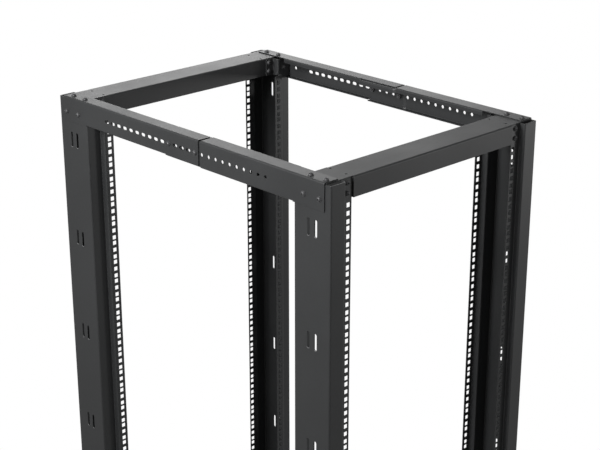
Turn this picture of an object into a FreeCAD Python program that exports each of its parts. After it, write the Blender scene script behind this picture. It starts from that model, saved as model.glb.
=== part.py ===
import FreeCAD, Part
import math
import os

# Four post open frame rack for 19 inch equipment, in folded steel sheet.
# Millimetres. The origin is on the floor, midway between the four posts.
# +X is the right-hand side, the front faces -Y, and +Z is up.

Vec = FreeCAD.Vector

# Equipment grid: one unit is 44.45 mm and holds three square holes.
unit = 44.45
units = 42
unit_rows = (6.35, 22.225, 38.1)      # hole rows, from the edge of a unit
square_hole = 9.5
rail_half_spacing = 232.55            # hole columns of the outer rails, from the middle
inner_rail_half_spacing = 242.8       # hole columns of the inner rails, from the middle

# Overall sizes
frame_width = 578.0                   # across the webs of the posts
frame_depth = 814.0                   # across the outer flanges of the posts
foot_height = 25.0                    # gap under the bottom side beams
sheet = 2.0
bend = 1.5                            # inside radius of each fold
fit_gap = 0.3                         # clearance between neighbouring pieces

# Post: a channel whose two flanges each step to a perforated rail
post_depth = 94.0
post_end = unit                       # length of post beyond the equipment grid
outer_plain = 37.6                    # plain part of the outer flange
outer_step = 13.2                     # outer face of the flange to the rail's mid-plane
outer_rail_edge = 7.5                 # hole column to the free edge of the outer rail
inner_plain = 35.0
inner_step = 13.0
inner_rail_edge = 9.8
inner_notch = 35.5                    # length cut off each end of the inner rail
slot_length = 34.0
slot_width = 6.4
slot_spacing = 19.0
slot_pairs = 9
slot_flap = 7.0                       # flap bent in from the far edge of each inner slot
slot_flap_angle = 45.0

# Front and back beams: inverted channels laid on the post ends
beam_setback = 9.0                    # outer flange of the post to the beam's face
beam_inner_face = 78.0
beam_wall = 40.0                      # height of both walls
beam_end_gap = 2.0                    # beam's face to the free edge of the rail
beam_tab = 23.0
beam_notch = 37.0                     # end of the top flange that is cut back
beam_notch_setback = 12.5             # its edge, from the outer flange of the post
beam_hole = 5.0
beam_hole_inset = 65.0                # from the web of the post
beam_hole_places = (26.8, 67.3)       # from the outer flange of the post
inner_wall_overlap = 26.0             # inner wall that runs on behind the bracket

# Side beams: two halves that slide into each other at mid-depth
side_web = 52.0                       # rear half
side_flange = 34.0
front_half_extra = 3.0                # the front half is this much taller and wider
side_lip = 10.0
side_return = 11.0                    # lower flange, from the outer face of the web
side_front_setback = 14.7
side_rear_setback = 21.0
side_corner = 8.0                     # radius on the rear end's lower corner
lip_gap = 4.0                         # end of the lip to the inner rail
overlap = 100.0
joggle = 6.0
row_pitch = 20.0
row_end_gap = 160.0                   # least distance from the last hole to the post's outer flange
row_drop = 26.9                       # top of the beam to the hole row
row_bolt_place = 2                    # the overlap is bolted at this hole each way
oval_length = 13.0
oval_height = 7.0
round_hole = 7.5
lone_hole_place = 117.0               # single hole near the right rear post, from its outer flange

# Corner bracket, inside each post end
bracket_sheet = 3.0
bracket_edge = 230.0                  # free edge of the screw plate, from the middle

# Levelling foot
foot_inset = 15.0                     # stud to the side beam's outer face
foot_place = 42.0                     # stud to the outer flange of the post
pad_diameter = 40.0
pad_top_diameter = 22.0
pad_rim = 4.0
pad_height = 12.0
stud_diameter = 10.0
stud_above = 14.0                     # stud that shows above the beams

# Worked out from the sizes above
half_width = frame_width / 2
half_depth = frame_depth / 2
post_length = units * unit + 2 * post_end
post_bottom = foot_height + 2 * sheet
post_top = post_bottom + post_length
mid_height = (post_bottom + post_top) / 2
grid_top = post_top - post_end
frame_top = post_top + 2 * sheet
beam_top = post_top + sheet
face_half = rail_half_spacing - outer_rail_edge - beam_end_gap
side_outer = half_width + sheet
half_overlap = overlap / 2
flange_setback = post_depth + 1
lip_setback = post_depth + inner_step + lip_gap
row_half_count = int((half_depth - row_end_gap) / row_pitch)


def sheet_face(path, thickness, radius):
    """Flat outline of a folded sheet: path is its mid-line, radius is inside each fold."""
    points = [Vec(x, y, 0) for x, y in path]
    mid_radius = radius + thickness / 2
    sides = []
    for side in (1, -1):
        offset = side * thickness / 2
        edges = []
        start = None
        for i in range(len(points) - 1):
            along = (points[i + 1] - points[i]).normalize()
            left = Vec(-along.y, along.x, 0)
            if i == 0:
                start = points[0] + left * offset
                first = start
            if i == len(points) - 2:
                end = points[-1] + left * offset
                edges.append(Part.LineSegment(start, end).toShape())
                last = end
                break
            following = (points[i + 2] - points[i + 1]).normalize()
            turn = math.atan2(along.x * following.y - along.y * following.x, along.dot(following))
            setback = mid_radius * math.tan(abs(turn) / 2)
            bend_start = points[i + 1] - along * setback
            bend_end = points[i + 1] + following * setback
            next_left = Vec(-following.y, following.x, 0)
            hand = 1 if turn > 0 else -1
            centre = bend_start + left * (hand * mid_radius)
            towards = (points[i + 1] - centre).normalize()
            arc_radius = mid_radius - hand * offset
            a = bend_start + left * offset
            b = bend_end + next_left * offset
            edges.append(Part.LineSegment(start, a).toShape())
            edges.append(Part.Arc(a, centre + towards * arc_radius, b).toShape())
            start = b
        sides.append((edges, first, last))
    (one, one_first, one_last), (two, two_first, two_last) = sides
    caps = [Part.LineSegment(one_last, two_last).toShape(), Part.LineSegment(two_first, one_first).toShape()]
    wire = Part.Wire(Part.__sortEdges__(one + two + caps))
    return Part.Face(wire)


def extrude_z(face, low, high):
    solid = face.extrude(Vec(0, 0, high - low))
    solid.translate(Vec(0, 0, low))
    return solid


def extrude_y(face, low, high):
    """Section drawn as x, z and carried from y = low to y = high."""
    solid = face.extrude(Vec(0, 0, high - low))
    solid.rotate(Vec(0, 0, 0), Vec(1, 0, 0), 90)
    solid.translate(Vec(0, high, 0))
    return solid


def extrude_x(face, low, high):
    """Section drawn as y, z and carried from x = low to x = high."""
    solid = face.extrude(Vec(0, 0, high - low))
    solid.rotate(Vec(0, 0, 0), Vec(1, 1, 1), 120)
    solid.translate(Vec(low, 0, 0))
    return solid


def box(x0, x1, y0, y1, z0, z1):
    return Part.makeBox(x1 - x0, y1 - y0, z1 - z0, Vec(x0, y0, z0))


def drill(diameter, place, direction, depth):
    """Round cutter centred on place."""
    return Part.makeCylinder(diameter / 2, depth, place - direction * (depth / 2), direction)


def oval_cutter(length, height, y, z, x0, x1):
    """Slot along y with round ends, cut from x0 to x1."""
    run = (length - height) / 2
    middle = box(x0, x1, y - run, y + run, z - height / 2, z + height / 2)
    ends = [Part.makeCylinder(height / 2, x1 - x0, Vec(x0, y + s * run, z), Vec(1, 0, 0)) for s in (-1, 1)]
    return middle.fuse(ends).removeSplitter()


def upright_slot(y, z, x0, x1):
    """Slot along z with round ends, cut from x0 to x1."""
    run = (slot_length - slot_width) / 2
    middle = box(x0, x1, y - slot_width / 2, y + slot_width / 2, z - run, z + run)
    ends = [
        Part.makeCylinder(slot_width / 2, x1 - x0, Vec(x0, y, z + s * run), Vec(1, 0, 0)) for s in (-1, 1)
    ]
    return middle.fuse(ends).removeSplitter()


def mirror_x(shape):
    return shape.mirror(Vec(0, 0, 0), Vec(1, 0, 0))


def mirror_y(shape):
    return shape.mirror(Vec(0, 0, 0), Vec(0, 1, 0))


def mirror_z(shape):
    return shape.mirror(Vec(0, 0, mid_height), Vec(0, 0, 1))


def front(place):
    """Turn a distance from the post's outer flange into y at the front."""
    return -half_depth + place


# Post, at the front right
def make_post():
    mid = sheet / 2
    outer_wall = half_width - outer_plain + mid
    inner_wall = half_width - inner_plain + mid
    rail = front(outer_step)
    inner_rail = front(post_depth + inner_step)
    path = [
        (rail_half_spacing - outer_rail_edge, rail),
        (outer_wall, rail),
        (outer_wall, front(mid)),
        (half_width - mid, front(mid)),
        (half_width - mid, front(post_depth - mid)),
        (inner_wall, front(post_depth - mid)),
        (inner_wall, inner_rail),
        (inner_rail_half_spacing - inner_rail_edge, inner_rail),
    ]
    post = extrude_z(sheet_face(path, sheet, bend), post_bottom, post_top)

    cutters = []
    half = square_hole / 2
    for n in range(units):
        for row in unit_rows:
            z = grid_top - n * unit - row
            for x, y in ((rail_half_spacing, rail), (inner_rail_half_spacing, inner_rail)):
                cutters.append(box(x - half, x + half, y - sheet, y + sheet, z - half, z + half))
    flaps = []
    slot_step = (units - 2) * unit / (slot_pairs - 1)
    for n in range(slot_pairs):
        z = grid_top - unit - n * slot_step
        for s in (-1, 1):
            y = front(post_depth / 2 + s * slot_spacing / 2)
            cutters.append(upright_slot(y, z, half_width - 2 * sheet, half_width + sheet))
        flaps.append(slot_flap_at(z))
    notch_x1 = inner_wall + mid + bend
    notch_y0 = front(post_depth - sheet - bend)
    notch = box(0, notch_x1, notch_y0, inner_rail + 2 * sheet, post_top - inner_notch, post_top + sheet)
    cutters += [notch, mirror_z(notch)]
    return post.cut(Part.makeCompound(cutters)).fuse(flaps)


def slot_flap_at(z):
    """Flap that is left standing at the inner slot and bent into the post."""
    hinge_y = front((post_depth + slot_spacing + slot_width) / 2)
    reach_x = slot_flap * math.sin(math.radians(slot_flap_angle))
    reach_y = slot_flap * math.cos(math.radians(slot_flap_angle))
    thick_x = sheet * math.cos(math.radians(slot_flap_angle))
    thick_y = sheet * math.sin(math.radians(slot_flap_angle))
    outline = [
        Vec(half_width, hinge_y, 0), Vec(half_width - reach_x, hinge_y - reach_y, 0),
        Vec(half_width - reach_x - thick_x, hinge_y - reach_y + thick_y, 0),
        Vec(half_width - thick_x, hinge_y + thick_y, 0), Vec(half_width, hinge_y, 0),
    ]
    return extrude_z(Part.Face(Part.makePolygon(outline)), z - slot_length / 2, z + slot_length / 2)


# Front beam, at the top
def make_beam():
    mid = sheet / 2
    wall_bottom = beam_top - beam_wall
    face = front(beam_setback)
    inner = front(beam_inner_face)
    section = [
        (face + mid, wall_bottom),
        (face + mid, beam_top - mid),
        (inner - mid, beam_top - mid),
        (inner - mid, wall_bottom),
    ]
    beam = extrude_x(sheet_face(section, sheet, bend), -face_half, face_half)

    tab_y = front(outer_step + sheet)
    tab_top = post_top - sheet / 2 - bend
    flange_end = half_width - bend - fit_gap
    notch_start = half_width - beam_notch
    notch_y = front(beam_notch_setback)
    for hand in (1, -1):
        wall = [(hand * (face_half - 10), face + mid), (hand * (face_half - mid), face + mid),
                (hand * (face_half - mid), tab_y), (hand * (face_half + beam_tab), tab_y)]
        tab = extrude_z(sheet_face(wall, sheet, bend), wall_bottom, tab_top)
        x0, x1 = sorted((hand * face_half, hand * notch_start))
        shelf = box(x0, x1, face + sheet + bend, inner - mid, post_top, beam_top)
        x0, x1 = sorted((hand * notch_start, hand * flange_end))
        end_shelf = box(x0, x1, notch_y, inner - mid, post_top, beam_top)
        x0, x1 = sorted((hand * face_half, hand * (face_half + inner_wall_overlap)))
        tongue = [(inner - mid - 4 * sheet, beam_top - mid), (inner - mid, beam_top - mid),
                  (inner - mid, wall_bottom)]
        inner_end = extrude_x(sheet_face(tongue, sheet, bend), x0, x1)
        beam = beam.fuse([tab, shelf, end_shelf, inner_end])
    holes = []
    for x in (half_width - beam_hole_inset, beam_hole_inset - half_width):
        for place in beam_hole_places:
            holes.append(drill(beam_hole, Vec(x, front(place), beam_top), Vec(0, 0, 1), 4 * sheet))
    return beam.cut(Part.makeCompound(holes)).removeSplitter()


def side_section(extra, inward):
    """Right-hand side beam, as x, z: lip, top flange, web and lower flange."""
    mid = sheet / 2
    web = side_outer - mid - inward
    top = frame_top - mid - inward
    flange_edge = side_outer - side_flange - extra + mid - inward
    bottom = frame_top - side_web - extra + mid
    return [(flange_edge, frame_top - side_lip - inward), (flange_edge, top), (web, top),
            (web, bottom), (side_outer - side_return, bottom)]


def side_channel(extra):
    """The same beam without its lip."""
    path = side_section(extra, 0)[1:]
    path[0] = (path[0][0] + sheet / 2 + bend, path[0][1])
    return path


def side_angle(extra):
    """The same beam with neither lip nor lower flange."""
    path = side_channel(extra)[:-1]
    path[-1] = (path[-1][0], frame_top - side_web - extra)
    return path


# Side beam, rear half, at the right and the top
def make_side_rear(with_lone_hole):
    y_end = half_depth - side_rear_setback
    flange_end = half_depth - flange_setback
    lip_end = half_depth - lip_setback
    lip_start = half_overlap + fit_gap
    lipped = extrude_y(sheet_face(side_section(0, 0), sheet, bend), lip_start, lip_end)
    overlapping = extrude_y(sheet_face(side_angle(0), sheet, bend), -half_overlap, lip_start)
    near_post = extrude_y(sheet_face(side_channel(0), sheet, bend), lip_end, flange_end)
    at_post = extrude_y(sheet_face(side_angle(0), sheet, bend), flange_end, y_end)
    beam = lipped.fuse([overlapping, near_post, at_post]).removeSplitter()
    cutters = [corner_cutter(y_end, frame_top - side_web)]
    z = frame_top - row_drop
    for k in range(-row_bolt_place, row_half_count + 1):
        if k == -row_bolt_place or k == row_bolt_place:
            continue
        cutters.append(oval_cutter(oval_length, oval_height, k * row_pitch, z, half_width - sheet,
                                   side_outer + sheet))
    if with_lone_hole:
        place = Vec(side_outer, half_depth - lone_hole_place, z)
        cutters.append(drill(round_hole, place, Vec(1, 0, 0), 4 * sheet))
    return beam.cut(Part.makeCompound(cutters))


def corner_cutter(y_end, z_low):
    """What is cut away to round the lower corner of a side beam's end."""
    x0 = half_width - sheet
    x1 = side_outer + sheet
    y = y_end - side_corner
    z = z_low + side_corner
    block = box(x0, x1, y, y_end + sheet, z_low - sheet, z)
    return block.cut(Part.makeCylinder(side_corner, x1 - x0, Vec(x0, y, z), Vec(1, 0, 0)))


# Side beam, front half, at the right and the top
def make_side_front():
    y_end = -half_depth + side_front_setback
    flange_end = -half_depth + flange_setback
    lip_end = -half_depth + lip_setback
    inward = sheet + fit_gap
    step_start = -half_overlap - fit_gap - joggle
    extra = front_half_extra
    lipped = extrude_y(sheet_face(side_section(extra, 0), sheet, bend), lip_end, step_start)
    near_post = extrude_y(sheet_face(side_channel(extra), sheet, bend), flange_end, lip_end)
    at_post = extrude_y(sheet_face(side_angle(extra), sheet, bend), y_end, flange_end)
    nested = extrude_y(sheet_face(side_section(extra, inward), sheet, bend), step_start + joggle, half_overlap)
    outer_wire = section_wire(side_section(extra, 0), step_start)
    inner_wire = section_wire(side_section(extra, inward), step_start + joggle)
    step = Part.makeLoft([outer_wire, inner_wire], True, True)
    beam = at_post.fuse([near_post, lipped, step, nested]).removeSplitter()
    cutters = []
    z = frame_top - row_drop
    for k in range(-row_half_count, row_bolt_place + 1):
        if k == -row_bolt_place or k == row_bolt_place:
            continue
        cutters.append(drill(round_hole, Vec(half_width, k * row_pitch, z), Vec(1, 0, 0), 8 * sheet))
    return beam.cut(Part.makeCompound(cutters))


def section_wire(path, y):
    """Closed outline of the side section at one place along the beam."""
    wire = sheet_face(path, sheet, bend).OuterWire
    wire.rotate(Vec(0, 0, 0), Vec(1, 0, 0), 90)
    wire.translate(Vec(0, y, 0))
    return wire


# Corner bracket, at the front right and the top
def make_bracket():
    mid = bracket_sheet / 2
    flange_plate_y = front(post_depth) + mid
    screw_plate_y = front(beam_inner_face) + mid
    wall_x = half_width - inner_plain - fit_gap - mid
    plate_end = half_width - sheet - bend
    top = post_top - fit_gap
    plate_bottom = frame_top - side_web + sheet + fit_gap
    path = [(bracket_edge, screw_plate_y), (wall_x, screw_plate_y), (wall_x, flange_plate_y),
            (plate_end, flange_plate_y)]
    notch_end = post_top - inner_notch + fit_gap
    folded = extrude_z(sheet_face(path, bracket_sheet, bend), notch_end, top)
    path = path[:2] + [(wall_x, front(post_depth) - fit_gap)]
    lower = extrude_z(sheet_face(path, bracket_sheet, bend), beam_top - beam_wall, notch_end)
    plate = box(half_width - inner_plain + sheet + bend + fit_gap, plate_end, front(post_depth),
                front(post_depth) + bracket_sheet, plate_bottom, top)
    return folded.fuse([lower, plate]).removeSplitter()


# Levelling foot, at the front right
def make_foot():
    place = Vec(side_outer - foot_inset, front(foot_place), 0)
    outline = [
        Vec(0, 0, 0), Vec(pad_diameter / 2, 0, 0), Vec(pad_diameter / 2, 0, pad_rim),
        Vec(pad_top_diameter / 2, 0, pad_height), Vec(stud_diameter / 2, 0, pad_height),
        Vec(stud_diameter / 2, 0, post_bottom + stud_above), Vec(0, 0, post_bottom + stud_above),
        Vec(0, 0, 0),
    ]
    foot = Part.Face(Part.makePolygon(outline)).revolve(Vec(0, 0, 0), Vec(0, 0, 1), 360)
    foot.translate(place)
    return foot


def stud_hole():
    place = Vec(side_outer - foot_inset, front(foot_place), foot_height + sheet)
    return drill(stud_diameter + 2 * fit_gap, place, Vec(0, 0, 1), 8 * sheet)


def save(name, shape):
    shape.exportStep("parts/" + name + ".step")


os.makedirs("parts", exist_ok=True)

post = make_post()
bracket = make_bracket()
foot = make_foot()
save("post_front_right", post)
save("post_front_left", mirror_x(post))
save("post_back_right", mirror_y(post))
save("post_back_left", mirror_x(mirror_y(post)))

hole = stud_hole()
stud_holes = Part.makeCompound([hole, mirror_x(hole), mirror_y(hole), mirror_x(mirror_y(hole))])
beam = make_beam()
save("front_top_beam", beam)
save("back_top_beam", mirror_y(beam))
save("front_bottom_beam", mirror_z(beam).cut(stud_holes))
save("back_bottom_beam", mirror_y(mirror_z(beam)).cut(stud_holes))

side_front = make_side_front()
for hand, flip in (("right", lambda s: s), ("left", mirror_x)):
    side_rear = make_side_rear(hand == "right")
    save(hand + "_top_beam_front_half", flip(side_front))
    save(hand + "_top_beam_rear_half", flip(side_rear))
    save(hand + "_bottom_beam_front_half", mirror_z(flip(side_front)).cut(stud_holes))
    save(hand + "_bottom_beam_rear_half", mirror_z(flip(side_rear)).cut(stud_holes))
    for level, lower in (("top", lambda s: s), ("bottom", mirror_z)):
        save("corner_bracket_" + level + "_front_" + hand, lower(flip(bracket)))
        save("corner_bracket_" + level + "_back_" + hand, lower(mirror_y(flip(bracket))))
    save("levelling_foot_front_" + hand, flip(foot))
    save("levelling_foot_back_" + hand, mirror_y(flip(foot)))
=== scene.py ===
import math

import bpy
from mathutils import Matrix, Quaternion, Vector


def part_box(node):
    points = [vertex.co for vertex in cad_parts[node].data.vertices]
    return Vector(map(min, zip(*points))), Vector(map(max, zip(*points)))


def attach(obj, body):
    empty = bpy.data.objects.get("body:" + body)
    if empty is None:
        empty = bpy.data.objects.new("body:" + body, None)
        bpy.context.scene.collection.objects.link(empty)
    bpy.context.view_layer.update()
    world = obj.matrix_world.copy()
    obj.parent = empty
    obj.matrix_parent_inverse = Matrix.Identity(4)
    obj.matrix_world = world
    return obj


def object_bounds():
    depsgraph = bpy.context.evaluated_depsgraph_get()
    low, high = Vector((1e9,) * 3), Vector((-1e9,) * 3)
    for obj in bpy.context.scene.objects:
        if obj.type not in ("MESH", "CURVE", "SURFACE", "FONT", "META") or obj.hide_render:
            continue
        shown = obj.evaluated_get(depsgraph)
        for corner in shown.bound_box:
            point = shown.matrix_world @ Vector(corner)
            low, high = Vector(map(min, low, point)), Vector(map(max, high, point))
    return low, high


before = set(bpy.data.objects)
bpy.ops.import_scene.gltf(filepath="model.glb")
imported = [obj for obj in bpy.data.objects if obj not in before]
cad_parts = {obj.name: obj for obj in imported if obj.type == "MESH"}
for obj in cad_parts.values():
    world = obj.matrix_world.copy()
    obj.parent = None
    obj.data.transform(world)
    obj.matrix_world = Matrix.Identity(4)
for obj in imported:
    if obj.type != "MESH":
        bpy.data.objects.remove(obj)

cad_low, cad_high = [list(corner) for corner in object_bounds()]


# Posts. Four upright channels folded from 2 mm sheet steel, each flange stepped to a
# rail of square holes. They are punched flat, folded on a press brake, and coated with
# a fine textured black powder that has cured to a satin finish.

post_black = (0.032, 0.033, 0.034)
post_roughness = 0.44


def powder_coat(name, colour, roughness, specks=1500.0, peel=160.0):
    """Black powder over steel: a fine even grain, a slow orange peel, dust that pales it in patches."""
    material = bpy.data.materials.new(name)
    material.use_nodes = True
    nodes = material.node_tree.nodes
    links = material.node_tree.links
    shader = nodes["Principled BSDF"]
    shader.inputs["Specular IOR Level"].default_value = 0.5
    place = nodes.new("ShaderNodeTexCoord")

    grain = nodes.new("ShaderNodeTexNoise")
    grain.inputs["Scale"].default_value = specks
    grain.inputs["Detail"].default_value = 2.0
    grain.inputs["Roughness"].default_value = 0.6
    links.new(place.outputs["Object"], grain.inputs["Vector"])

    flow = nodes.new("ShaderNodeTexNoise")
    flow.inputs["Scale"].default_value = peel
    flow.inputs["Detail"].default_value = 1.0
    links.new(place.outputs["Object"], flow.inputs["Vector"])

    dust = nodes.new("ShaderNodeTexNoise")
    dust.inputs["Scale"].default_value = 3.5
    dust.inputs["Detail"].default_value = 5.0
    dust.inputs["Roughness"].default_value = 0.62
    links.new(place.outputs["Object"], dust.inputs["Vector"])

    tone = nodes.new("ShaderNodeValToRGB")
    tone.color_ramp.elements[0].position = 0.3
    tone.color_ramp.elements[0].color = (*[c * 0.88 for c in colour], 1)
    tone.color_ramp.elements[1].position = 0.72
    tone.color_ramp.elements[1].color = (*[c * 1.12 for c in colour], 1)
    links.new(dust.outputs["Fac"], tone.inputs["Fac"])

    fleck = nodes.new("ShaderNodeMapRange")
    fleck.inputs["From Min"].default_value = 0.35
    fleck.inputs["From Max"].default_value = 0.7
    fleck.inputs["To Min"].default_value = 0.82
    fleck.inputs["To Max"].default_value = 1.2
    links.new(grain.outputs["Fac"], fleck.inputs["Value"])
    flecked = nodes.new("ShaderNodeMix")
    flecked.data_type = "RGBA"
    flecked.blend_type = "MULTIPLY"
    flecked.inputs["Factor"].default_value = 1.0
    links.new(tone.outputs["Color"], flecked.inputs["A"])
    links.new(fleck.outputs["Result"], flecked.inputs["B"])
    links.new(flecked.outputs["Result"], shader.inputs["Base Color"])

    gloss = nodes.new("ShaderNodeMapRange")
    gloss.inputs["From Min"].default_value = 0.3
    gloss.inputs["From Max"].default_value = 0.7
    gloss.inputs["To Min"].default_value = roughness - 0.05
    gloss.inputs["To Max"].default_value = roughness + 0.06
    links.new(dust.outputs["Fac"], gloss.inputs["Value"])
    links.new(gloss.outputs["Result"], shader.inputs["Roughness"])

    worn = nodes.new("ShaderNodeBevel")
    worn.samples = 4
    worn.inputs["Radius"].default_value = 0.0006
    fine = nodes.new("ShaderNodeBump")
    fine.inputs["Strength"].default_value = 0.16
    fine.inputs["Distance"].default_value = 0.0002
    links.new(grain.outputs["Fac"], fine.inputs["Height"])
    links.new(worn.outputs["Normal"], fine.inputs["Normal"])
    slow = nodes.new("ShaderNodeBump")
    slow.inputs["Strength"].default_value = 0.1
    slow.inputs["Distance"].default_value = 0.0006
    links.new(flow.outputs["Fac"], slow.inputs["Height"])
    links.new(fine.outputs["Normal"], slow.inputs["Normal"])
    links.new(slow.outputs["Normal"], shader.inputs["Normal"])
    return material


def coat(material, *starts):
    """Gives the coat to each piece of the frame whose name starts so."""
    for name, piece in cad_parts.items():
        if name.startswith(starts):
            for slot in piece.material_slots:
                slot.material = material


coat(powder_coat("post_powder_coat", post_black, post_roughness), "post_")


# Front and back beams. Channels folded from sheet steel that close the frame across its
# width, top and bottom, in the same coat. The face of the front one is plain.

# Each beam has its own copy of the coat. Its slight darkening against the posts' colour is painted shade,
# set to the light falling on that beam. Its gloss differs too.
front_beam_black = (0.030, 0.031, 0.032)
front_beam_roughness = 0.50
back_beam_black = (0.029, 0.030, 0.031)
back_beam_roughness = 0.42
coat(powder_coat("front_beam_powder_coat", front_beam_black, front_beam_roughness), "front_")
coat(powder_coat("back_beam_powder_coat", back_beam_black, back_beam_roughness), "back_")


# Side beams. Each is two folded channels that slide into each other, so the depth can be
# set, and that are screwed together where they overlap.

# The right beam's coat is a little darker than the left's. That is painted shade, set to the light falling
# on that side. Their gloss differs too.
left_beam_black = (0.032, 0.033, 0.034)
left_beam_roughness = 0.43
right_beam_black = (0.030, 0.031, 0.032)
right_beam_roughness = 0.39
coat(powder_coat("left_beam_powder_coat", left_beam_black, left_beam_roughness), "left_")
coat(powder_coat("right_beam_powder_coat", right_beam_black, right_beam_roughness), "right_")


# Corner brackets. Folded plates, coated like the beams, that tie each beam to the inner
# flange of its post.

bracket_black = (0.029, 0.030, 0.031)
bracket_roughness = 0.46
coat(powder_coat("bracket_powder_coat", bracket_black, bracket_roughness), "corner_bracket")


# Levelling feet. Pressed steel pads on threaded studs, plated black, under the bottom
# frame at each post.

foot_black = (0.04, 0.04, 0.042)
foot_roughness = 0.36
coat(powder_coat("foot_black_plating", foot_black, foot_roughness, specks=900.0), "levelling_foot")


# Screws. Pan-head machine screws with a cross recess and a plain washer, blackened. They
# go through the side beams, the rails and the brackets at each corner, and through the
# overlap of the side beams' halves.

screw_head_radius = 0.0048
screw_head_height = 0.0036
screw_washer_radius = 0.0056
screw_washer_thickness = 0.0009
screw_recess_width = 0.0013
screw_recess_length = 0.0046
screw_recess_depth = 0.0019
screw_head_sink = 0.0001
cutter_width = 0.04
cutter_height = 0.02
recess_cutter_height = 0.01

side_screw_insets = (0.0268, 0.0673)
side_screw_drop = 0.0331
top_screw_left = 0.2785
top_screw_right = 0.2705
front_top_screw_insets = (0.0225, 0.0612)
back_top_screw_insets = (0.0380, 0.0775)
rail_inset = 0.0122
rail_screw_across = 0.2370
rail_screw_drops = (0.0122, 0.0318)
bracket_inset = 0.081
bracket_screw_across = 0.2366
bracket_screw_drops = (0.0115, 0.0312)
overlap_screw_holes = (-2, 2)
overlap_screw_drop = 0.0269
row_pitch = 0.020

screw_black = (0.085, 0.085, 0.088)
screw_roughness = 0.50


def new_tree(name, inputs):
    """An empty tree with these named sizes, a material, and points to stand its pieces on."""
    tree = bpy.data.node_groups.new(name, "GeometryNodeTree")
    tree.interface.new_socket("Places", in_out="INPUT", socket_type="NodeSocketGeometry")
    for label in inputs:
        tree.interface.new_socket(label, in_out="INPUT", socket_type="NodeSocketFloat")
    tree.interface.new_socket("Finish", in_out="INPUT", socket_type="NodeSocketMaterial")
    tree.interface.new_socket("Pieces", in_out="OUTPUT", socket_type="NodeSocketGeometry")
    return tree, tree.nodes.new("NodeGroupInput"), tree.nodes.new("NodeGroupOutput")


def maths(tree, operation, *values):
    node = tree.nodes.new("ShaderNodeMath")
    node.operation = operation
    for socket, value in zip(node.inputs, values):
        if isinstance(value, (int, float)):
            socket.default_value = value
        else:
            tree.links.new(value, socket)
    return node.outputs[0]


def vector(tree, x, y, z):
    node = tree.nodes.new("ShaderNodeCombineXYZ")
    for socket, value in zip(node.inputs, (x, y, z)):
        if isinstance(value, (int, float)):
            socket.default_value = value
        else:
            tree.links.new(value, socket)
    return node.outputs[0]


def moved(tree, mesh, shift, scale=None):
    node = tree.nodes.new("GeometryNodeTransform")
    tree.links.new(mesh, node.inputs["Geometry"])
    tree.links.new(shift, node.inputs["Translation"])
    if scale is not None:
        tree.links.new(scale, node.inputs["Scale"])
    return node.outputs[0]


def block(tree, size, shift):
    node = tree.nodes.new("GeometryNodeMeshCube")
    tree.links.new(size, node.inputs["Size"])
    return moved(tree, node.outputs["Mesh"], shift)


def rod(tree, radius, depth, sides):
    node = tree.nodes.new("GeometryNodeMeshCylinder")
    node.inputs["Vertices"].default_value = sides
    tree.links.new(radius, node.inputs["Radius"])
    tree.links.new(depth, node.inputs["Depth"])
    middle = maths(tree, "MULTIPLY", depth, 0.5)
    return moved(tree, node.outputs["Mesh"], vector(tree, 0, 0, middle))


def less(tree, body, *cutters):
    node = tree.nodes.new("GeometryNodeMeshBoolean")
    node.operation = "DIFFERENCE"
    node.solver = "EXACT"
    tree.links.new(body, node.inputs["Mesh 1"])
    for cutter in cutters:
        tree.links.new(cutter, node.inputs["Mesh 2"])
    return node.outputs["Mesh"]


crisp_edge_angle = math.radians(32)


def stand_on_places(tree, given, result, shape, seed):
    """One copy of the shape at each place, facing the way stored there, turned at random about its axis."""
    nodes, links = tree.nodes, tree.links
    facing = nodes.new("GeometryNodeInputNamedAttribute")
    facing.data_type = "FLOAT_VECTOR"
    facing.inputs["Name"].default_value = "facing"
    aim = nodes.new("FunctionNodeAlignRotationToVector")
    aim.axis = "Z"
    links.new(facing.outputs["Attribute"], aim.inputs["Vector"])
    spin = nodes.new("FunctionNodeRandomValue")
    spin.data_type = "FLOAT"
    spin.inputs[3].default_value = math.tau
    spin.inputs["Seed"].default_value = seed
    turned = nodes.new("FunctionNodeAxisAngleToRotation")
    turned.inputs["Axis"].default_value = (0, 0, 1)
    links.new(spin.outputs[1], turned.inputs["Angle"])
    both = nodes.new("FunctionNodeRotateRotation")
    both.rotation_space = "LOCAL"
    links.new(aim.outputs["Rotation"], both.inputs["Rotation"])
    links.new(turned.outputs["Rotation"], both.inputs["Rotate By"])
    place = nodes.new("GeometryNodeInstanceOnPoints")
    links.new(given.outputs["Places"], place.inputs["Points"])
    links.new(shape, place.inputs["Instance"])
    links.new(both.outputs["Rotation"], place.inputs["Rotation"])
    real = nodes.new("GeometryNodeRealizeInstances")
    links.new(place.outputs["Instances"], real.inputs["Geometry"])
    round_faces = nodes.new("GeometryNodeSetShadeSmooth")
    round_faces.domain = "FACE"
    links.new(real.outputs["Geometry"], round_faces.inputs["Geometry"])
    angle = nodes.new("GeometryNodeInputMeshEdgeAngle")
    crisp = nodes.new("GeometryNodeSetShadeSmooth")
    crisp.domain = "EDGE"
    crisp.inputs["Shade Smooth"].default_value = False
    links.new(round_faces.outputs["Geometry"], crisp.inputs["Geometry"])
    sharp = maths(tree, "GREATER_THAN", angle.outputs["Unsigned Angle"], crisp_edge_angle)
    links.new(sharp, crisp.inputs["Selection"])
    finish = nodes.new("GeometryNodeSetMaterial")
    links.new(crisp.outputs["Geometry"], finish.inputs["Geometry"])
    links.new(given.outputs["Finish"], finish.inputs["Material"])
    links.new(finish.outputs["Geometry"], result.inputs["Pieces"])


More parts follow.
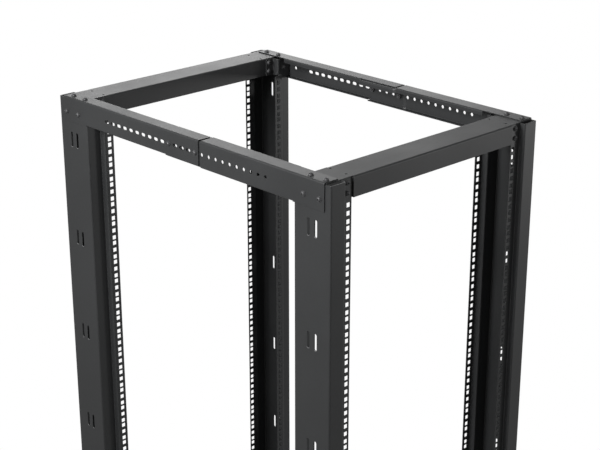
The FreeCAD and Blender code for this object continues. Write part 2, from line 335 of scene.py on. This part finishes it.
def fixings(name, places, tree, sizes, material):
    """Plain mesh of every fixing of one kind. Each place is a point and the way its head faces."""
    mesh = bpy.data.meshes.new(name)
    mesh.from_pydata([point for point, _ in places], [], [])
    facing = mesh.attributes.new("facing", "FLOAT_VECTOR", "POINT")
    for i, (_, way) in enumerate(places):
        facing.data[i].vector = way
    carrier = bpy.data.objects.new(name + "_places", mesh)
    bpy.context.scene.collection.objects.link(carrier)
    modifier = carrier.modifiers.new("pieces", "NODES")
    modifier.node_group = tree
    values = {**sizes, "Finish": material}
    for item in tree.interface.items_tree:
        if item.in_out == "INPUT" and item.name in values:
            modifier[item.identifier] = values[item.name]
    bpy.context.view_layer.update()
    ready = carrier.evaluated_get(bpy.context.evaluated_depsgraph_get())
    made = bpy.data.meshes.new_from_object(ready)
    made.name = name
    carrier.modifiers.remove(modifier)
    bpy.data.objects.remove(carrier)
    piece = bpy.data.objects.new(name, made)
    bpy.context.scene.collection.objects.link(piece)
    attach(piece, "root")


def blackened_steel(name, colour, roughness):
    """Black oxide on a turned head: part metal, with rubbed spots and a fine grain."""
    material = bpy.data.materials.new(name)
    material.use_nodes = True
    nodes = material.node_tree.nodes
    links = material.node_tree.links
    shader = nodes["Principled BSDF"]
    shader.inputs["Metallic"].default_value = 0.3
    place = nodes.new("ShaderNodeTexCoord")
    rub = nodes.new("ShaderNodeTexNoise")
    rub.inputs["Scale"].default_value = 420.0
    rub.inputs["Detail"].default_value = 4.0
    links.new(place.outputs["Object"], rub.inputs["Vector"])
    tone = nodes.new("ShaderNodeValToRGB")
    tone.color_ramp.elements[0].position = 0.35
    tone.color_ramp.elements[0].color = (*[c * 0.7 for c in colour], 1)
    tone.color_ramp.elements[1].position = 0.75
    tone.color_ramp.elements[1].color = (*[c * 1.5 for c in colour], 1)
    links.new(rub.outputs["Fac"], tone.inputs["Fac"])
    links.new(tone.outputs["Color"], shader.inputs["Base Color"])
    gloss = nodes.new("ShaderNodeMapRange")
    gloss.inputs["To Min"].default_value = roughness - 0.08
    gloss.inputs["To Max"].default_value = roughness + 0.12
    links.new(rub.outputs["Fac"], gloss.inputs["Value"])
    links.new(gloss.outputs["Result"], shader.inputs["Roughness"])
    bump = nodes.new("ShaderNodeBump")
    bump.inputs["Strength"].default_value = 0.12
    bump.inputs["Distance"].default_value = 0.0001
    links.new(rub.outputs["Fac"], bump.inputs["Height"])
    links.new(bump.outputs["Normal"], shader.inputs["Normal"])
    return material


screw_tree, given, result = new_tree("pan_head_screw", (
    "Head Radius", "Head Height", "Washer Radius", "Washer Thickness",
    "Recess Width", "Recess Length", "Recess Depth"))
ball = screw_tree.nodes.new("GeometryNodeMeshUVSphere")
ball.inputs["Segments"].default_value = 32
ball.inputs["Rings"].default_value = 18
ball.inputs["Radius"].default_value = 1.0
head_radius = given.outputs["Head Radius"]
head_height = given.outputs["Head Height"]
washer_top = given.outputs["Washer Thickness"]
recess_width = given.outputs["Recess Width"]
recess_length = given.outputs["Recess Length"]
dome = moved(screw_tree, ball.outputs["Mesh"], vector(screw_tree, 0, 0, washer_top),
             vector(screw_tree, head_radius, head_radius, head_height))
below_middle = maths(screw_tree, "SUBTRACT", washer_top, cutter_height / 2 + screw_head_sink)
below = block(screw_tree, vector(screw_tree, cutter_width, cutter_width, cutter_height),
              vector(screw_tree, 0, 0, below_middle))
head_top = maths(screw_tree, "ADD", washer_top, head_height)
recess_floor = maths(screw_tree, "SUBTRACT", head_top, given.outputs["Recess Depth"])
recess_middle = vector(screw_tree, 0, 0, maths(screw_tree, "ADD", recess_floor, recess_cutter_height / 2))
recess_along = block(screw_tree, vector(screw_tree, recess_length, recess_width, recess_cutter_height),
                     recess_middle)
recess_across = block(screw_tree, vector(screw_tree, recess_width, recess_length, recess_cutter_height),
                      recess_middle)
head = less(screw_tree, dome, below, recess_along, recess_across)
washer = rod(screw_tree, given.outputs["Washer Radius"], washer_top, sides=36)
both = screw_tree.nodes.new("GeometryNodeJoinGeometry")
screw_tree.links.new(head, both.inputs["Geometry"])
screw_tree.links.new(washer, both.inputs["Geometry"])
stand_on_places(screw_tree, given, result, both.outputs["Geometry"], seed=3)

frame_top = cad_high[2]
mid_height = (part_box("post_front_left")[0].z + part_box("post_front_left")[1].z) / 2
half_depth = cad_high[1]
side_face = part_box("right_top_beam_rear_half")[1].x
rail_face = half_depth - rail_inset
bracket_face = half_depth - bracket_inset


def height_at(level, drop):
    """The height this far below the frame's top, or as far above its lower edge for level -1."""
    return mid_height + level * (frame_top - drop - mid_height)


screw_places = []
for across, top_in in ((-1, top_screw_left), (1, top_screw_right)):
    for level in (-1, 1):
        for end, top_insets in ((-1, front_top_screw_insets), (1, back_top_screw_insets)):
            for inset in side_screw_insets:
                place = (across * side_face, end * (half_depth - inset), height_at(level, side_screw_drop))
                screw_places.append((place, (across, 0, 0)))
            for inset in top_insets:
                place = (across * top_in, end * (half_depth - inset), height_at(level, 0))
                screw_places.append((place, (0, 0, level)))
            for drop in rail_screw_drops:
                place = (across * rail_screw_across, end * rail_face, height_at(level, drop))
                screw_places.append((place, (0, end, 0)))
            for drop in bracket_screw_drops:
                place = (across * bracket_screw_across, end * bracket_face, height_at(level, drop))
                screw_places.append((place, (0, -end, 0)))
for across in (-1, 1):
    for level in (-1, 1):
        for hole in overlap_screw_holes:
            place = (across * side_face, hole * row_pitch, height_at(level, overlap_screw_drop))
            screw_places.append((place, (across, 0, 0)))

screw_finish = blackened_steel("screw_black_oxide", screw_black, screw_roughness)
fixings("corner_screws", screw_places, screw_tree, {
    "Head Radius": screw_head_radius, "Head Height": screw_head_height,
    "Washer Radius": screw_washer_radius, "Washer Thickness": screw_washer_thickness,
    "Recess Width": screw_recess_width, "Recess Length": screw_recess_length,
    "Recess Depth": screw_recess_depth}, screw_finish)


# Nuts. Hexagon nuts with the end of the screw standing out, behind the overlap of the
# two halves of each side beam.

nut_radius = 0.0058
nut_height = 0.0048
thread_radius = 0.0029
thread_length = 0.0072
nut_across = 0.2867

nut_tree, given, result = new_tree("hexagon_nut", (
    "Nut Radius", "Nut Height", "Thread Radius", "Thread Length"))
hexagon = rod(nut_tree, given.outputs["Nut Radius"], given.outputs["Nut Height"], sides=6)
thread = rod(nut_tree, given.outputs["Thread Radius"], given.outputs["Thread Length"], sides=24)
both = nut_tree.nodes.new("GeometryNodeJoinGeometry")
nut_tree.links.new(hexagon, both.inputs["Geometry"])
nut_tree.links.new(thread, both.inputs["Geometry"])
stand_on_places(nut_tree, given, result, both.outputs["Geometry"], seed=8)

nut_places = []
for across in (-1, 1):
    for level in (-1, 1):
        for hole in overlap_screw_holes:
            place = (across * nut_across, hole * row_pitch, height_at(level, overlap_screw_drop))
            nut_places.append((place, (-across, 0, 0)))
fixings("screw_nuts", nut_places, nut_tree, {
    "Nut Radius": nut_radius, "Nut Height": nut_height,
    "Thread Radius": thread_radius, "Thread Length": thread_length}, screw_finish)


# Slot lips. The lower end of each cable slot in the posts has a thin rounded lip, left by
# the punch; its pale grey is a painted highlight where the cut edge catches the light.

# Pale grey: painted highlight of the lit cut edge at the foot of each slot, not a rubbed coat.
slot_lip_highlight_grey = (0.22, 0.22, 0.225)
lip_roughness = 0.42
lip_start = math.radians(200)
lip_sweep = math.radians(140)
lip_bend_radius = 0.0032
lip_radius = 0.0006
slot_pitch = 0.22225
slot_pairs = 9
slot_pair_inset = 0.047
slot_side = 0.0095
first_slot_drop = 0.0889
slot_end_drop = 0.0138

lip_tree, given, result = new_tree("slot_lip", ("Bend Radius", "Lip Radius"))
arc = lip_tree.nodes.new("GeometryNodeCurveArc")
arc.mode = "RADIUS"
arc.inputs["Resolution"].default_value = 20
arc.inputs["Start Angle"].default_value = lip_start
arc.inputs["Sweep Angle"].default_value = lip_sweep
lip_tree.links.new(given.outputs["Bend Radius"], arc.inputs["Radius"])
section = lip_tree.nodes.new("GeometryNodeCurvePrimitiveCircle")
section.inputs["Resolution"].default_value = 12
lip_tree.links.new(given.outputs["Lip Radius"], section.inputs["Radius"])
bead = lip_tree.nodes.new("GeometryNodeCurveToMesh")
bead.inputs["Fill Caps"].default_value = True
lip_tree.links.new(arc.outputs["Curve"], bead.inputs["Curve"])
lip_tree.links.new(section.outputs["Curve"], bead.inputs["Profile Curve"])
upright = lip_tree.nodes.new("GeometryNodeTransform")
upright.inputs["Rotation"].default_value = (math.radians(90), 0, math.radians(90))
lip_tree.links.new(bead.outputs["Mesh"], upright.inputs["Geometry"])
place = lip_tree.nodes.new("GeometryNodeInstanceOnPoints")
lip_tree.links.new(given.outputs["Places"], place.inputs["Points"])
lip_tree.links.new(upright.outputs["Geometry"], place.inputs["Instance"])
real = lip_tree.nodes.new("GeometryNodeRealizeInstances")
lip_tree.links.new(place.outputs["Instances"], real.inputs["Geometry"])
finish = lip_tree.nodes.new("GeometryNodeSetMaterial")
lip_tree.links.new(real.outputs["Geometry"], finish.inputs["Geometry"])
lip_tree.links.new(given.outputs["Finish"], finish.inputs["Material"])
lip_tree.links.new(finish.outputs["Geometry"], result.inputs["Pieces"])

post_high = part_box("post_front_right")[1]
web_face = post_high.x
slot_middle = half_depth - slot_pair_inset
lip_places = []
for across in (-1, 1):
    for end in (-1, 1):
        for pair in range(slot_pairs):
            z = post_high.z - first_slot_drop - pair * slot_pitch - slot_end_drop
            for hand in (-1, 1):
                place = (across * web_face, end * (slot_middle + hand * slot_side), z)
                lip_places.append((place, (across, 0, 0)))
# The lips' pale coat is a painted highlight.
slot_lip_highlight_coat = powder_coat("slot_lip_painted_highlight", slot_lip_highlight_grey, lip_roughness)
fixings("slot_lips", lip_places, lip_tree, {"Bend Radius": lip_bend_radius, "Lip Radius": lip_radius},
        slot_lip_highlight_coat)


# Camera, in front, to the left and above.

camera_place = Vector((-1.9626, -2.0807, 2.8115))
camera_target = Vector((0.2335, 0.2179, 1.6059))
camera_roll = math.radians(-0.023)

camera = bpy.data.objects.new("camera", bpy.data.cameras.new("camera"))
bpy.context.scene.collection.objects.link(camera)
camera.data.sensor_width = 36.0
camera.data.lens = 86.71
camera.data.clip_end = 60.0
turn = (camera_target - camera_place).to_track_quat("-Z", "Y") @ Quaternion((0, 0, 1), camera_roll)
camera.matrix_world = Matrix.Translation(camera_place) @ turn.to_matrix().to_4x4()
bpy.context.scene.camera = camera


# Floor and backdrop, plain and pale, and soft studio light. The camera sees both as
# white, and a glossy coat or a screw head reflects a dimmer share of that white.

white_in_reflections = 0.25


def seen_as_white(nodes, links):
    """How much of the plain white a ray sees: all of it, or the dimmer share in a reflection."""
    path = nodes.new("ShaderNodeLightPath")
    reflected = nodes.new("ShaderNodeMath")
    reflected.operation = "MULTIPLY"
    reflected.inputs[1].default_value = white_in_reflections
    links.new(path.outputs["Is Glossy Ray"], reflected.inputs[0])
    share = reflected.outputs[0]
    for kind in ("Is Camera Ray", "Is Transmission Ray"):
        most = nodes.new("ShaderNodeMath")
        most.operation = "MAXIMUM"
        links.new(share, most.inputs[0])
        links.new(path.outputs[kind], most.inputs[1])
        share = most.outputs[0]
    return share


floor_reach = 12
floor_grey = 0.6
room_light = 0.158

floor_mesh = bpy.data.meshes.new("studio_floor")
floor_corners = [(x * floor_reach, y * floor_reach, 0) for x, y in ((-1, -1), (1, -1), (1, 1), (-1, 1))]
floor_mesh.from_pydata(floor_corners, [], [(0, 1, 2, 3)])
floor = bpy.data.objects.new("studio_floor", floor_mesh)
bpy.context.scene.collection.objects.link(floor)
floor_white = bpy.data.materials.new("floor_white")
floor_white.use_nodes = True
nodes = floor_white.node_tree.nodes
links = floor_white.node_tree.links
matt = nodes["Principled BSDF"]
matt.inputs["Base Color"].default_value = (floor_grey, floor_grey, floor_grey, 1)
matt.inputs["Roughness"].default_value = 0.9
matt.inputs["Specular IOR Level"].default_value = 0.1
white = nodes.new("ShaderNodeEmission")
white.inputs["Strength"].default_value = 1.0
mix = nodes.new("ShaderNodeMixShader")
links.new(seen_as_white(nodes, links), mix.inputs["Fac"])
links.new(matt.outputs["BSDF"], mix.inputs[1])
links.new(white.outputs["Emission"], mix.inputs[2])
links.new(mix.outputs["Shader"], nodes["Material Output"].inputs["Surface"])
floor_mesh.materials.append(floor_white)

world = bpy.data.worlds.new("studio")
bpy.context.scene.world = world
world.use_nodes = True
nodes = world.node_tree.nodes
links = world.node_tree.links
nodes.clear()
room = nodes.new("ShaderNodeBackground")
room.inputs["Color"].default_value = (1, 1, 1, 1)
room.inputs["Strength"].default_value = room_light
backdrop = nodes.new("ShaderNodeBackground")
backdrop.inputs["Color"].default_value = (1, 1, 1, 1)
backdrop.inputs["Strength"].default_value = 1.0
mix = nodes.new("ShaderNodeMixShader")
links.new(seen_as_white(nodes, links), mix.inputs["Fac"])
links.new(room.outputs["Background"], mix.inputs[1])
links.new(backdrop.outputs["Background"], mix.inputs[2])
output = nodes.new("ShaderNodeOutputWorld")
links.new(mix.outputs["Shader"], output.inputs["Surface"])


def lamp(name, place, target, size, watts, spread=math.pi):
    light = bpy.data.lights.new(name, "AREA")
    light.shape = "SQUARE"
    light.size = size
    light.energy = watts
    light.spread = spread
    holder = bpy.data.objects.new(name, light)
    bpy.context.scene.collection.objects.link(holder)
    holder.location = place
    holder.rotation_euler = (Vector(target) - Vector(place)).to_track_quat("-Z", "Y").to_euler()


lamp("left_high", place=(-2.6, 0.3, 3.6), target=(0, 0, 2.2), size=1.2, watts=14.0, spread=1.3)
lamp("left_side", place=(-3.6, -0.3, 2.9), target=(0, 0, 2.1), size=1.0, watts=7.6, spread=1.0)
lamp("front_right", place=(3.6, -2.9, 1.6), target=(0.1, -0.2, 2.0), size=0.8, watts=9.8, spread=1.6)
lamp("back_high", place=(2.9, 3.1, 3.3), target=(0, 0, 1.9), size=2.4, watts=22.6)
lamp("back_low", place=(2.3, 3.6, 2.7), target=(0, 0, 1.9), size=1.8, watts=13.3)

bpy.context.scene.view_settings.view_transform = "Standard"
